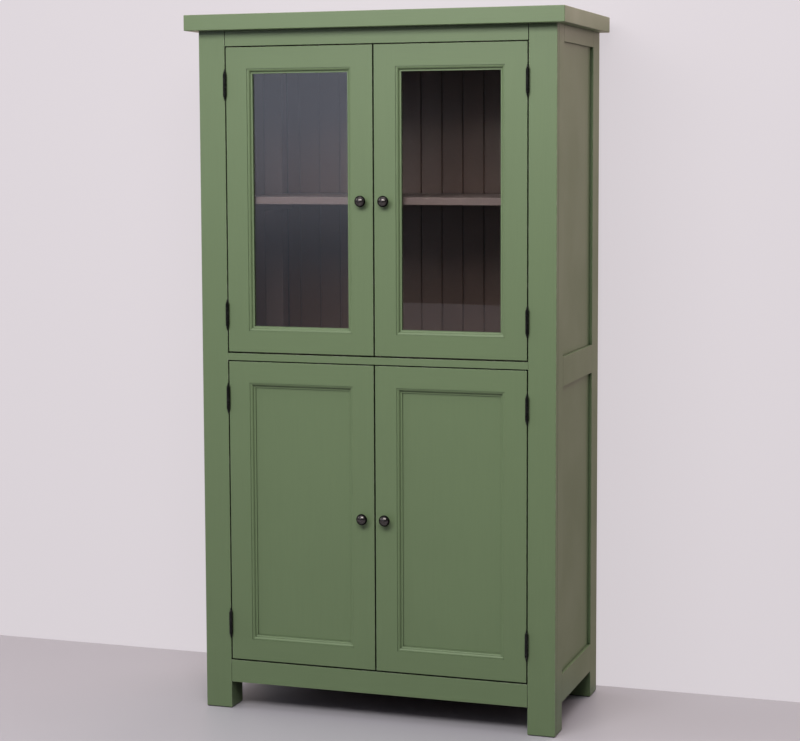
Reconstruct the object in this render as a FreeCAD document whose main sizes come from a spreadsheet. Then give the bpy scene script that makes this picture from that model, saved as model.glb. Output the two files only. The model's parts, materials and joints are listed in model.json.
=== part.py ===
import FreeCAD, Part
import os
import Sketcher

# A painted kitchen cabinet: four posts, a thick top, two glazed doors over two panelled doors.
# Frame: origin under the middle of the top's outline, on the floor. +Z is up, the doors face -Y.
# The left half is modelled and the right half is its mirror image in the plane X = 0.

# Driving sizes in millimetres, one sheet cell each
SIZES = {
    # outline
    "overall_width": 1050.0,
    "overall_depth": 520.0,
    "overall_height": 1900.0,
    "slab_thickness": 42.0,
    "slab_edge_radius": 2.0,
    "side_overhang": 28.0,
    "front_overhang": 36.0,
    "back_overhang": 2.0,
    # posts and front frame
    "post_size": 75.0,
    "post_edge_radius": 1.4,
    "foot_chamfer": 3.0,
    "foot_height": 75.0,
    "face_line_setback": 17.0,
    "face_line_width": 2.0,
    "face_line_depth": 2.5,
    "rail_thickness": 25.0,
    "rail_edge_radius": 0.8,
    "top_rail_height": 41.4,
    "bottom_rail_height": 61.8,
    "deck_height": 969.5,
    "deck_thickness": 19.5,
    "top_rail_seam": 1.6,
    "bottom_rail_seam": 0.8,
    # joints between frame pieces
    "tenon_length": 20.0,
    "tenon_shoulder": 6.0,
    "tenon_haunch": 12.0,
    "housing_depth": 8.0,
    "housing_play": 1.0,
    "fit_gap": 0.5,
    "overrun": 1.0,
    # side frames
    "side_top_rail_height": 43.0,
    "side_middle_rail_drop": 49.5,
    "side_middle_rail_height": 78.0,
    "side_bottom_rail_height": 77.0,
    "side_panel_recess": 8.0,
    "side_panel_thickness": 12.0,
    # back
    "back_rail_thickness": 20.0,
    "back_rail_height": 70.0,
    "board_thickness": 12.0,
    "board_pitch": 62.0,
    "board_gap": 0.4,
    "board_chamfer": 2.4,
    "tongue_length": 5.0,
    "tongue_thickness": 4.0,
    "tongue_play": 0.2,
    # floor, shelves and their cleats
    "floor_thickness": 18.0,
    "floor_rebate": 10.0,
    "shelf_thickness": 20.0,
    "shelf_setback": 30.0,
    "shelf_edge_radius": 1.5,
    "upper_shelf_rise": 424.0,
    "lower_shelf_rise": 423.2,
    "shelf_play": 1.0,
    "cleat_height": 25.0,
    "cleat_thickness": 16.0,
    "cleat_setback": 10.0,
    # doors
    "door_thickness": 22.0,
    "door_gap": 3.2,
    "door_head_gap": 3.0,
    "door_foot_gap": 4.0,
    "centre_gap": 3.8,
    "door_edge_radius": 1.2,
    "stile_width": 60.0,
    "door_rail_width": 57.5,
    "door_tenon_length": 30.0,
    "door_tenon_thickness": 8.0,
    "door_tenon_shoulder": 8.0,
    # moulding on the inner edge of the door frames
    "quirk_depth": 2.0,
    "bead_width": 7.2,
    "bead_drop": 3.2,
    "bead_radius": 7.6,
    "step_depth": 2.4,
    "step_width": 0.6,
    "cove_width": 3.0,
    "cove_drop": 1.8,
    "cove_radius": 4.5,
    "lip_width": 2.4,
    # door panels and glass
    "panel_depth": 12.5,
    "door_panel_thickness": 7.0,
    "glass_depth": 14.0,
    "glass_thickness": 4.0,
    "rebate_width": 10.0,
    "glass_play": 1.5,
    "glazing_bead_width": 9.0,
    # knobs
    "knob_height": 26.0,
    "knob_radius": 15.2,
    "knob_foot_radius": 8.0,
    "knob_foot_height": 2.0,
    "knob_neck_radius": 4.6,
    "knob_neck_height": 9.0,
    "knob_rim_height": 17.0,
    "knob_rim_width": 4.0,
    "knob_face_step": 0.7,
    "knob_face_radius": 11.2,
    "knob_flare_radius": 12.0,
    "knob_dome_radius": 16.8,
    "knob_screw_radius": 2.0,
    "knob_screw_depth": 8.0,
    "knob_screw_head_radius": 4.2,
    "knob_screw_head_height": 2.4,
    # hinges
    "hinge_height": 58.0,
    "hinge_inset": 100.5,
    "hinge_barrel_radius": 4.5,
    "hinge_pin_radius": 2.5,
    "hinge_pin_play": 0.05,
    "hinge_knuckle_gap": 0.3,
    "hinge_running_gap": 0.3,
    "hinge_leaf_thickness": 2.0,
    "hinge_leaf_width": 18.0,
    "hinge_leaf_play": 0.2,
    "hinge_screw_spacing": 20.0,
    "hinge_screw_setback": 10.0,
    "tip_collar_height": 1.6,
    "tip_neck_radius": 2.4,
    "tip_neck_height": 1.4,
    "tip_bulb_radius": 3.3,
    "tip_bulb_height": 3.2,
    "tip_point_radius": 0.8,
    "tip_height": 13.0,
    # wood screws
    "screw_head_radius": 3.4,
    "screw_shank_radius": 1.6,
    "screw_length": 16.0,
    "screw_tip_height": 3.0,
    "screw_play": 0.1,
    # magnetic catches
    "catch_length": 44.0,
    "catch_depth": 15.0,
    "catch_height": 16.0,
    "catch_edge_radius": 1.5,
    "pole_length": 36.0,
    "pole_thickness": 1.6,
    "pole_spacing": 5.0,
    "pole_depth": 12.0,
    "pole_stand": 0.5,
    "strike_length": 40.0,
    "strike_height": 12.0,
    "strike_thickness": 2.0,
    "strike_edge_radius": 0.5,
    "strike_setback": 0.5,
    "catch_air_gap": 0.4,
}

KNUCKLES = 5
HINGE_SCREWS = 3

doc = FreeCAD.newDocument("KitchenCabinet")
sheet = doc.addObject("Spreadsheet::Sheet", "Sizes")


class Size:
    """A length, known as a number and as the formula on the sheet's cells that gives it."""

    def __init__(self, number, formula):
        self.number = number
        self.formula = formula

    def joined(self, other, sign, number):
        return Size(number, "(%s %s %s)" % (self.formula, sign, other.formula))

    def __add__(self, other):
        other = as_size(other)
        return self.joined(other, "+", self.number + other.number)

    def __sub__(self, other):
        other = as_size(other)
        return self.joined(other, "-", self.number - other.number)

    def __mul__(self, share):
        return self.joined(Size(share, str(share)), "*", self.number * share)

    def __truediv__(self, share):
        return self.joined(Size(share, str(share)), "/", self.number / share)

    def __neg__(self):
        return self * -1


def as_size(length):
    """A bare zero as a Size; a Size stays as it is."""
    if isinstance(length, Size):
        return length
    return Size(length, str(length))


class Cells:
    """The sheet's cells, each one a Size under its own name."""


def fill_sheet():
    cells = Cells()
    for row, (alias, number) in enumerate(SIZES.items(), start=1):
        sheet.set("A%d" % row, alias)
        sheet.set("B%d" % row, str(number))
        sheet.setAlias("B%d" % row, alias)
        setattr(cells, alias, Size(number, "Sizes." + alias))
    doc.recompute()
    return cells


mm = fill_sheet()


# Helpers that make document objects and bind their sizes to the sheet

def bind(thing, prop, length):
    thing.setExpression(prop, as_size(length).formula)


def place(thing, corner):
    for axis, where in zip("xyz", corner):
        bind(thing, "Placement.Base." + axis, where)


def new_body(name):
    body = doc.addObject("PartDesign::Body", name)
    body.Label = name
    return body


def block(body, name, corner, extent, kind="Additive"):
    """A box from its low corner; kind Subtractive cuts it out."""
    box = body.newObject("PartDesign::%sBox" % kind, name)
    for prop, length in zip(("Length", "Width", "Height"), extent):
        bind(box, prop, length)
    place(box, corner)
    return box


def cut(body, name, corner, extent):
    return block(body, name, corner, extent, "Subtractive")


ALONG = {
    "x": FreeCAD.Rotation(FreeCAD.Vector(0, 1, 0), 90),
    "-x": FreeCAD.Rotation(FreeCAD.Vector(0, 1, 0), -90),
    "y": FreeCAD.Rotation(FreeCAD.Vector(1, 0, 0), -90),
    "z": FreeCAD.Rotation(),
}


def rod(body, name, start, along, radius, length, kind="Subtractive"):
    """A cylinder from the middle of its first end, along x, -x, y or z."""
    cylinder = body.newObject("PartDesign::%sCylinder" % kind, name)
    bind(cylinder, "Radius", radius)
    bind(cylinder, "Height", length)
    cylinder.Placement = FreeCAD.Placement(FreeCAD.Vector(), ALONG[along])
    place(cylinder, start)
    return cylinder


def cone(body, name, start, along, first_radius, last_radius, length):
    """A countersink: a cone cut out from the middle of its first end."""
    sink = body.newObject("PartDesign::SubtractiveCone", name)
    bind(sink, "Radius1", first_radius)
    bind(sink, "Radius2", last_radius)
    bind(sink, "Height", length)
    sink.Placement = FreeCAD.Placement(FreeCAD.Vector(), ALONG[along])
    place(sink, start)
    return sink


def new_sketch(body, name, plane):
    sketch = body.newObject("Sketcher::SketchObject", name)
    support = [part for part in body.Origin.OriginFeatures if part.Role == plane]
    sketch.AttachmentSupport = (support[0], [""])
    sketch.MapMode = "FlatFace"
    return sketch


def arc_through(start, end, radius):
    """An arc of a signed radius: positive bulges to the right of the way from start to end."""
    if radius < 0:
        return arc_through(end, start, -radius)
    chord = end - start
    half = chord.Length / 2
    to_left = FreeCAD.Vector(-chord.y, chord.x, 0).normalize()
    centre = start + chord / 2 + to_left * (radius * radius - half * half) ** 0.5
    circle = Part.Circle(centre, FreeCAD.Vector(0, 0, 1), radius)
    return Part.ArcOfCircle(circle, circle.parameter(start), circle.parameter(end))


def outline(sketch, corners):
    """A closed outline. Each corner is (x, y) or (x, y, radius of the arc that ends there)."""
    points = [FreeCAD.Vector(as_size(c[0]).number, as_size(c[1]).number, 0) for c in corners]
    count = len(corners)
    pieces = []
    for index in range(count):
        start = points[index]
        end = points[(index + 1) % count]
        target = corners[(index + 1) % count]
        if len(target) == 2:
            geometry = Part.LineSegment(start, end)
        else:
            geometry = arc_through(start, end, target[2].number)
        number = sketch.addGeometry(geometry)
        first = sketch.Geometry[number].StartPoint
        forward = (first - start).Length < (first - end).Length
        pieces.append((number, 1 if forward else 2, 2 if forward else 1))
        if len(target) == 3:
            radius = target[2] if target[2].number > 0 else -target[2]
            held = sketch.addConstraint(Sketcher.Constraint("Radius", number, radius.number))
            bind(sketch, "Constraints[%d]" % held, radius)
    for index in range(count):
        number, first, last = pieces[index]
        following, its_first, its_last = pieces[(index + 1) % count]
        sketch.addConstraint(Sketcher.Constraint("Coincident", number, last, following, its_first))
        for kind, place_on_axis in zip(("DistanceX", "DistanceY"), corners[index][:2]):
            length = as_size(place_on_axis)
            constraint = Sketcher.Constraint(kind, -1, 1, number, first, float(length.number))
            held = sketch.addConstraint(constraint)
            bind(sketch, "Constraints[%d]" % held, length)


def rectangle(sketch, low, high):
    outline(sketch, [low, (high[0], low[1]), high, (low[0], high[1])])


def pad(body, sketch, length, name="pad"):
    made = body.newObject("PartDesign::Pad", name)
    made.Profile = sketch
    bind(made, "Length", length)
    return made


def pocket_through(body, sketch, name="pocket"):
    """Cuts the sketch out of the whole body, to both sides of its plane."""
    made = body.newObject("PartDesign::Pocket", name)
    made.Profile = sketch
    made.SideType = "Symmetric"
    made.Type = "ThroughAll"
    return made


def revolve(body, sketch, axis="V_Axis", name="revolution"):
    made = body.newObject("PartDesign::Revolution", name)
    made.Profile = sketch
    made.ReferenceAxis = (sketch, [axis])
    made.Angle = 360
    return made


def ease(body, kind, length, wanted, name):
    """A Fillet or Chamfer on the edges of the body that the test wants."""
    doc.recompute()
    base = body.Tip
    edges = ["Edge%d" % (n + 1) for n, edge in enumerate(base.Shape.Edges) if wanted(edge)]
    made = body.newObject("PartDesign::" + kind, name)
    made.Base = (base, edges)
    bind(made, "Radius" if kind == "Fillet" else "Size", length)
    return made


def edge_spans(edge, axis):
    """How far an edge reaches along x, y or z."""
    box = edge.BoundBox
    return {"x": box.XLength, "y": box.YLength, "z": box.ZLength}[axis]


NEAR = 1e-4


def upright(edge):
    return edge_spans(edge, "x") < NEAR and edge_spans(edge, "y") < NEAR


def is_end(edge, height):
    """Whether an edge lies at the foot or the head of a piece of this height."""
    return abs(edge.BoundBox.ZMax) < NEAR or abs(edge.BoundBox.ZMax - height.number) < NEAR


def copy_of(source, name, corner):
    link = doc.addObject("App::Link", name)
    link.LinkedObject = source
    place(link, corner)
    return link


def group(name, members):
    made = doc.addObject("Part::Compound", name)
    made.Label = name
    made.Links = members
    return made


def mirrored(source, name):
    made = doc.addObject("Part::Mirroring", name)
    made.Label = name
    made.Source = source
    made.Normal = FreeCAD.Vector(1, 0, 0)
    return made


nodes = []


def keep(*pieces):
    """Lists finished sub-parts, each one a node of the hand-in."""
    nodes.extend(pieces)
    return pieces[0]


def keep_both_sides(piece):
    """Keeps a piece of the left half and its mirror image."""
    keep(piece, mirrored(piece, piece.Label.replace("left", "right")))
    return piece


# Places that several pieces share

half_width = mm.overall_width / 2
body_side = half_width - mm.side_overhang
post_inside = body_side - mm.post_size
front = mm.front_overhang - mm.overall_depth / 2
back = mm.overall_depth / 2 - mm.back_overhang
behind_front_posts = front + mm.post_size
before_back_posts = back - mm.post_size
slab_base = mm.overall_height - mm.slab_thickness
bottom_rail_top = mm.foot_height + mm.bottom_rail_height
deck_top = mm.deck_height + mm.deck_thickness
top_rail_base = slab_base - mm.top_rail_height
boards_back = back - mm.back_rail_thickness
boards_front = boards_back - mm.board_thickness
tenon_thickness = mm.rail_thickness - mm.tenon_shoulder * 2
side_rail_inside = body_side - mm.rail_thickness
floor_base = bottom_rail_top - mm.floor_thickness
side_middle_rail_base = mm.deck_height - mm.side_middle_rail_drop
upper_shelf_top = deck_top + mm.upper_shelf_rise
lower_shelf_top = bottom_rail_top + mm.lower_shelf_rise

door_left = mm.door_gap - post_inside
door_width = -door_left - mm.centre_gap / 2
lower_door_base = bottom_rail_top + mm.door_foot_gap
lower_door_top = mm.deck_height - mm.door_head_gap
upper_door_base = deck_top + mm.door_foot_gap
upper_door_top = top_rail_base - mm.door_head_gap
DOORS = {
    "upper": (upper_door_base, upper_door_top),
    "lower": (lower_door_base, lower_door_top),
}

pin_x = mm.door_gap / 2 - post_inside
pin_y = front - mm.hinge_barrel_radius - mm.hinge_running_gap
hinge_centres = []
for door_base, door_top in DOORS.values():
    hinge_centres.append(door_top - mm.hinge_inset)
    hinge_centres.append(door_base + mm.hinge_inset)


def hinge_screw_heights(centre):
    middle = (HINGE_SCREWS - 1) / 2
    return [centre + mm.hinge_screw_spacing * (n - middle) for n in range(HINGE_SCREWS)]


# Top

def make_top_slab():
    slab = new_body("top_slab")
    place(slab, (0, 0, slab_base))
    sketch = new_sketch(slab, "slab_outline", "XY_Plane")
    half_depth = mm.overall_depth / 2
    rectangle(sketch, (-half_width, -half_depth), (half_width, half_depth))
    pad(slab, sketch, mm.slab_thickness)
    ease(slab, "Fillet", mm.slab_edge_radius, lambda edge: True, "slab_arrises")
    return slab


# Posts, each with mortises for the rails and grooves for the side panels

def rail_mortise(post, name, corner_x, rail_base, rail_height, face_y, thickness):
    """The hole for the tenon of a rail that runs along X."""
    cut(post, name,
        (corner_x, face_y + mm.tenon_shoulder, rail_base + mm.tenon_haunch),
        (mm.tenon_length, thickness, rail_height - mm.tenon_haunch * 2))


def side_joints(post, low_y, groove_y):
    """Mortises for the three side rails, and the grooves that hold the side panels."""
    side_rails = (
        (mm.foot_height, mm.side_bottom_rail_height),
        (side_middle_rail_base, mm.side_middle_rail_height),
        (slab_base - mm.side_top_rail_height, mm.side_top_rail_height),
    )
    for rail_base, rail_height in side_rails:
        cut(post, "side_rail_mortise",
            (mm.tenon_shoulder - body_side, low_y, rail_base + mm.tenon_haunch),
            (tenon_thickness, mm.tenon_length, rail_height - mm.tenon_haunch * 2))
    for (lower_base, lower_height), (upper_base, _) in zip(side_rails, side_rails[1:]):
        groove_base = lower_base + lower_height - mm.housing_depth
        cut(post, "side_panel_groove",
            (mm.side_panel_recess - body_side, groove_y, groove_base),
            (mm.side_panel_thickness, mm.housing_depth,
             upper_base + mm.housing_depth - groove_base))


def make_post(name, corner_y):
    post = new_body(name)
    block(post, "post_blank", (-body_side, corner_y, 0), (mm.post_size, mm.post_size, slab_base))
    ease(post, "Chamfer", mm.foot_chamfer, lambda edge: abs(edge.BoundBox.ZMax) < NEAR, "foot_chamfer")
    ease(post, "Fillet", mm.post_edge_radius, upright, "post_arrises")
    return post


def cut_face_line(post):
    """The fine line down the outer side of a front post, where the front face is glued on."""
    cut(post, "face_line",
        (-body_side - mm.overrun, front + mm.face_line_setback, -mm.overrun),
        (mm.overrun + mm.face_line_depth, mm.face_line_width, slab_base + mm.overrun * 2))


def make_front_post():
    post = make_post("front_left_post", front)
    cut_face_line(post)
    mortise_x = -post_inside - mm.tenon_length
    rail_mortise(post, "bottom_rail_mortise", mortise_x, mm.foot_height, mm.bottom_rail_height,
                 front, tenon_thickness)
    rail_mortise(post, "top_rail_mortise", mortise_x, top_rail_base, mm.top_rail_height,
                 front, tenon_thickness)
    cut(post, "deck_mortise",
        (mortise_x, front + mm.tenon_haunch, mm.deck_height + mm.tenon_shoulder),
        (mm.tenon_length, mm.post_size - mm.tenon_haunch * 2,
         mm.deck_thickness - mm.tenon_shoulder * 2))
    side_joints(post, behind_front_posts - mm.tenon_length, behind_front_posts - mm.housing_depth)
    for centre in hinge_centres:
        cut(post, "hinge_recess",
            (-post_inside - mm.hinge_leaf_thickness, front - mm.overrun,
             centre - mm.hinge_height / 2 - mm.hinge_leaf_play),
            (mm.hinge_leaf_thickness + mm.overrun, mm.overrun + mm.hinge_leaf_width + mm.hinge_leaf_play,
             mm.hinge_height + mm.hinge_leaf_play * 2))
        for height in hinge_screw_heights(centre):
            rod(post, "pilot_hole",
                (-post_inside - mm.hinge_leaf_thickness, front + mm.hinge_screw_setback, height), "-x",
                mm.screw_shank_radius + mm.screw_play, mm.screw_length)
    return post


def back_rail_bases():
    middle = mm.deck_height + (mm.deck_thickness - mm.back_rail_height) / 2
    return (mm.foot_height, middle, slab_base - mm.back_rail_height)


def make_back_post():
    post = make_post("back_left_post", before_back_posts)
    for rail_base in back_rail_bases():
        rail_mortise(post, "back_rail_mortise", -post_inside - mm.tenon_length, rail_base,
                     mm.back_rail_height, boards_back, mm.back_rail_thickness - mm.tenon_shoulder * 2)
    side_joints(post, before_back_posts, before_back_posts)
    return post


# Rails that run across the front and the back

def cross_rail(name, rail_base, rail_height, face_y, thickness, seam=0):
    """A rail between two posts, whose shoulders stop short of them by an open seam."""
    rail = new_body(name)
    end = post_inside - seam
    block(rail, "rail_blank", (-end, face_y, rail_base), (end * 2, thickness, rail_height))
    ease(rail, "Fillet", mm.rail_edge_radius,
         lambda edge: edge_spans(edge, "x") > NEAR, "rail_arrises")
    block(rail, "rail_tenons",
          (-post_inside - mm.tenon_length, face_y + mm.tenon_shoulder, rail_base + mm.tenon_haunch),
          ((post_inside + mm.tenon_length) * 2, thickness - mm.tenon_shoulder * 2,
           rail_height - mm.tenon_haunch * 2))
    return rail


def make_front_bottom_rail():
    rail = cross_rail("front_bottom_rail", mm.foot_height, mm.bottom_rail_height, front,
                      mm.rail_thickness, mm.bottom_rail_seam)
    cut(rail, "floor_rebate",
        (-post_inside - mm.overrun, front + mm.rail_thickness - mm.floor_rebate, floor_base),
        ((post_inside + mm.overrun) * 2, mm.floor_rebate + mm.overrun, mm.floor_thickness + mm.overrun))
    return rail


def make_back_rails():
    rails = []
    for position, rail_base in zip(("bottom", "middle", "top"), back_rail_bases()):
        rails.append(cross_rail("back_%s_rail" % position, rail_base, mm.back_rail_height,
                                boards_back, mm.back_rail_thickness))
    return group("back_rails", rails)


# Side frames: three rails and two panels

def make_side_rail(position, rail_base, rail_height):
    rail = new_body("left_side_%s_rail" % position)
    length = before_back_posts - behind_front_posts
    block(rail, "rail_blank", (-body_side, behind_front_posts, rail_base),
          (mm.rail_thickness, length, rail_height))
    ease(rail, "Fillet", mm.rail_edge_radius,
         lambda edge: edge_spans(edge, "y") > NEAR, "rail_arrises")
    block(rail, "rail_tenons",
          (mm.tenon_shoulder - body_side, behind_front_posts - mm.tenon_length, rail_base + mm.tenon_haunch),
          (tenon_thickness, length + mm.tenon_length * 2, rail_height - mm.tenon_haunch * 2))
    grooves = {
        "bottom": [rail_base + rail_height - mm.housing_depth],
        "middle": [rail_base - mm.overrun, rail_base + rail_height - mm.housing_depth],
        "top": [rail_base - mm.overrun],
    }
    for groove_base in grooves[position]:
        cut(rail, "panel_groove",
            (mm.side_panel_recess - body_side, behind_front_posts - mm.overrun, groove_base),
            (mm.side_panel_thickness, length + mm.overrun * 2, mm.housing_depth + mm.overrun))
    return rail


def house_board(rail, board_base, board_thickness):
    """A groove in the inner face of a side rail, for the floor or the deck."""
    cut(rail, "board_housing",
        (-side_rail_inside - mm.housing_depth, behind_front_posts - mm.overrun, board_base),
        (mm.housing_depth + mm.overrun, before_back_posts - behind_front_posts + mm.overrun * 2,
         board_thickness))


def make_side_panel(position, opening_base, opening_top):
    panel = new_body("left_side_%s_panel" % position)
    grip = mm.housing_depth - mm.housing_play
    block(panel, "panel_blank",
          (mm.side_panel_recess - body_side, behind_front_posts - grip, opening_base - grip),
          (mm.side_panel_thickness, before_back_posts - behind_front_posts + grip * 2,
           opening_top - opening_base + grip * 2))
    return panel


def make_sides():
    top_base = slab_base - mm.side_top_rail_height
    bottom_top = mm.foot_height + mm.side_bottom_rail_height
    middle_top = side_middle_rail_base + mm.side_middle_rail_height
    bottom_rail = make_side_rail("bottom", mm.foot_height, mm.side_bottom_rail_height)
    house_board(bottom_rail, floor_base, mm.floor_thickness)
    middle_rail = make_side_rail("middle", side_middle_rail_base, mm.side_middle_rail_height)
    house_board(middle_rail, mm.deck_height, mm.deck_thickness)
    keep_both_sides(make_side_rail("top", top_base, mm.side_top_rail_height))
    keep_both_sides(middle_rail)
    keep_both_sides(bottom_rail)
    keep_both_sides(make_side_panel("upper", middle_top, top_base))
    keep_both_sides(make_side_panel("lower", bottom_top, side_middle_rail_base))


# Boards that lie across the cabinet

def make_wings(board, board_base, board_thickness):
    """The stretch of a board that reaches past the posts into the side rails."""
    reach = side_rail_inside + mm.housing_depth - mm.housing_play
    block(board, "wings",
          (-reach, behind_front_posts + mm.fit_gap, board_base),
          (reach * 2, before_back_posts - behind_front_posts - mm.fit_gap * 2, board_thickness))


def make_deck():
    deck = new_body("middle_deck")
    block(deck, "deck_blank", (-post_inside, front, mm.deck_height),
          (post_inside * 2, boards_front - mm.fit_gap - front, mm.deck_thickness))
    ease(deck, "Fillet", mm.rail_edge_radius,
         lambda edge: edge_spans(edge, "x") > NEAR and abs(edge.BoundBox.YMax - front.number) < NEAR,
         "deck_arrises")
    make_wings(deck, mm.deck_height, mm.deck_thickness)
    block(deck, "deck_tenons",
          (-post_inside - mm.tenon_length, front + mm.tenon_haunch, mm.deck_height + mm.tenon_shoulder),
          ((post_inside + mm.tenon_length) * 2, mm.post_size - mm.tenon_haunch * 2,
           mm.deck_thickness - mm.tenon_shoulder * 2))
    return deck


def make_floor():
    floor = new_body("floor_board")
    floor_front = front + mm.rail_thickness - mm.floor_rebate + mm.fit_gap
    block(floor, "floor_blank", (mm.fit_gap - post_inside, floor_front, floor_base),
          ((post_inside - mm.fit_gap) * 2, boards_front - mm.fit_gap - floor_front, mm.floor_thickness))
    make_wings(floor, floor_base, mm.floor_thickness)
    return floor


def make_shelf(name, shelf_top):
    shelf = new_body(name)
    shelf_front = front + mm.shelf_setback
    block(shelf, "shelf_blank", (mm.shelf_play - post_inside, shelf_front, shelf_top - mm.shelf_thickness),
          ((post_inside - mm.shelf_play) * 2, boards_front - mm.shelf_play - shelf_front,
           mm.shelf_thickness))
    ease(shelf, "Fillet", mm.shelf_edge_radius,
         lambda edge: edge_spans(edge, "x") > NEAR and abs(edge.BoundBox.YMax - shelf_front.number) < NEAR,
         "shelf_arrises")
    return shelf


def make_cleats():
    cleat_front = front + mm.shelf_setback + mm.cleat_setback
    members = []
    for position, shelf_top in (("upper", upper_shelf_top), ("lower", lower_shelf_top)):
        cleat = new_body("left_%s_cleat" % position)
        block(cleat, "cleat_blank",
              (-post_inside, cleat_front, shelf_top - mm.shelf_thickness - mm.cleat_height),
              (mm.cleat_thickness, boards_front - mm.fit_gap - cleat_front, mm.cleat_height))
        members += [cleat, mirrored(cleat, "right_%s_cleat" % position)]
    return group("shelf_cleats", members)


# Back of tongue-and-groove boards, laid from the right post; the last one is ripped to width

def board_outline(width, tongued):
    """Plan of a board: groove on its right edge at X = 0, tongue on its left edge."""
    middle = mm.board_thickness / 2
    low = middle - mm.tongue_thickness / 2
    high = middle + mm.tongue_thickness / 2
    inner_low = low - mm.tongue_play
    inner_high = high + mm.tongue_play
    groove = mm.tongue_length + mm.tongue_play
    left = -width + mm.board_gap
    corners = [
        (left + mm.board_chamfer, 0),
        (-mm.board_chamfer, 0),
        (0, mm.board_chamfer),
        (0, inner_low),
        (-groove, inner_low),
        (-groove, inner_high),
        (0, inner_high),
        (0, mm.board_thickness),
        (left, mm.board_thickness),
    ]
    if tongued:
        tip = left - mm.tongue_length
        corners += [(left, high), (tip, high), (tip, low), (left, low)]
    corners.append((left, mm.board_chamfer))
    return corners


def make_board(name, width, tongued):
    board = new_body(name)
    sketch = new_sketch(board, "board_plan", "XY_Plane")
    outline(sketch, board_outline(width, tongued))
    pad(board, sketch, slab_base - mm.foot_height)
    return board


def make_back_boards():
    across = post_inside * 2
    count = int(across.number / mm.board_pitch.number)
    if across.number - count * mm.board_pitch.number < mm.tongue_length.number * 2:
        count -= 1
    whole = make_board("whole_board", mm.board_pitch, True)
    members = []
    for number in range(count):
        corner = (post_inside - mm.board_pitch * number, boards_front, mm.foot_height)
        members.append(copy_of(whole, "board_%d" % (number + 1), corner))
    ripped = make_board("ripped_board", across - mm.board_pitch * count + mm.board_gap, False)
    place(ripped, (post_inside - mm.board_pitch * count, boards_front, mm.foot_height))
    members.append(ripped)
    return group("back_boards", members)


# Door frames

def frame_section(flat_width, glazed):
    """Section of a stile or rail: u from its outer edge, v from its front face, arc radius."""
    bead_end = flat_width + mm.bead_width
    bead_foot = mm.quirk_depth + mm.bead_drop
    step = bead_foot + mm.step_depth
    cove_start = bead_end + mm.step_width
    cove_end = cove_start + mm.cove_width
    lip = step + mm.cove_drop
    inner = cove_end + mm.lip_width
    corners = [
        (0, mm.door_edge_radius),
        (mm.door_edge_radius, 0, mm.door_edge_radius),
        (flat_width, 0),
        (flat_width, mm.quirk_depth),
        (bead_end, bead_foot, mm.bead_radius),
        (bead_end, step),
        (cove_start, step),
        (cove_end, lip, -mm.cove_radius),
        (inner, lip),
    ]
    if glazed:
        rebate = inner - mm.rebate_width
        corners += [(inner, mm.glass_depth), (rebate, mm.glass_depth), (rebate, mm.door_thickness)]
    else:
        groove = inner - mm.housing_depth
        groove_back = mm.panel_depth + mm.door_panel_thickness
        corners += [
            (inner, mm.panel_depth),
            (groove, mm.panel_depth),
            (groove, groove_back),
            (inner, groove_back),
            (inner, mm.door_thickness),
        ]
    corners.append((0, mm.door_thickness))
    return corners


moulding_width = mm.bead_width + mm.step_width + mm.cove_width + mm.lip_width


def turned(corners, swap, flip):
    """The section as the sketch needs it: u mirrored by flip, u and v swapped for rails."""
    made = []
    for u, v, *radius in corners:
        across = -as_size(u) if flip else as_size(u)
        point = (as_size(v), across) if swap else (across, as_size(v))
        if radius:
            point += (-radius[0] if flip != swap else radius[0],)
        made.append(point)
    return made


def door_tenon(body, name, corner_x, corner_z, length, height):
    """A tenon when added, its mortise when cut."""
    return (body, name, (corner_x, (mm.door_thickness - mm.door_tenon_thickness) / 2, corner_z),
            (length, mm.door_tenon_thickness, height))


def make_stile(name, door_base, door_height, outer_x, flip, glazed):
    """A stile at its outer edge. Its moulding is on the right, or on the left with flip."""
    stile = new_body(name)
    place(stile, (outer_x, front, door_base))
    section = new_sketch(stile, "stile_section", "XY_Plane")
    outline(section, turned(frame_section(mm.stile_width, glazed), False, flip))
    pad(stile, section, door_height)
    inner = mm.stile_width + moulding_width + mm.overrun
    mitre = mm.door_rail_width + moulding_width + mm.overrun
    ends = new_sketch(stile, "mitred_ends", "XZ_Plane")
    for start, sense in ((as_size(0), 1), (door_height, -1)):
        corners = [
            (mm.stile_width, start - mm.overrun * sense),
            (inner, start - mm.overrun * sense),
            (inner, start + mitre * sense),
            (mm.stile_width, start + mm.door_rail_width * sense),
        ]
        outline(ends, [(-x, z) if flip else (x, z) for x, z in corners])
    pocket_through(stile, ends, "mitres")
    ease(stile, "Fillet", mm.door_edge_radius,
         lambda edge: edge_spans(edge, "y") < NEAR and edge_spans(edge, "z") < NEAR
         and abs(edge.BoundBox.YMin) < NEAR and is_end(edge, door_height), "end_arrises")
    mortise_x = -mm.stile_width if flip else mm.stile_width - mm.door_tenon_length
    tenon_height = mm.door_rail_width - mm.door_tenon_shoulder * 2
    for height in (mm.door_tenon_shoulder, door_height - mm.door_tenon_shoulder - tenon_height):
        cut(*door_tenon(stile, "rail_mortise", mortise_x, height, mm.door_tenon_length, tenon_height))
    return stile


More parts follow.
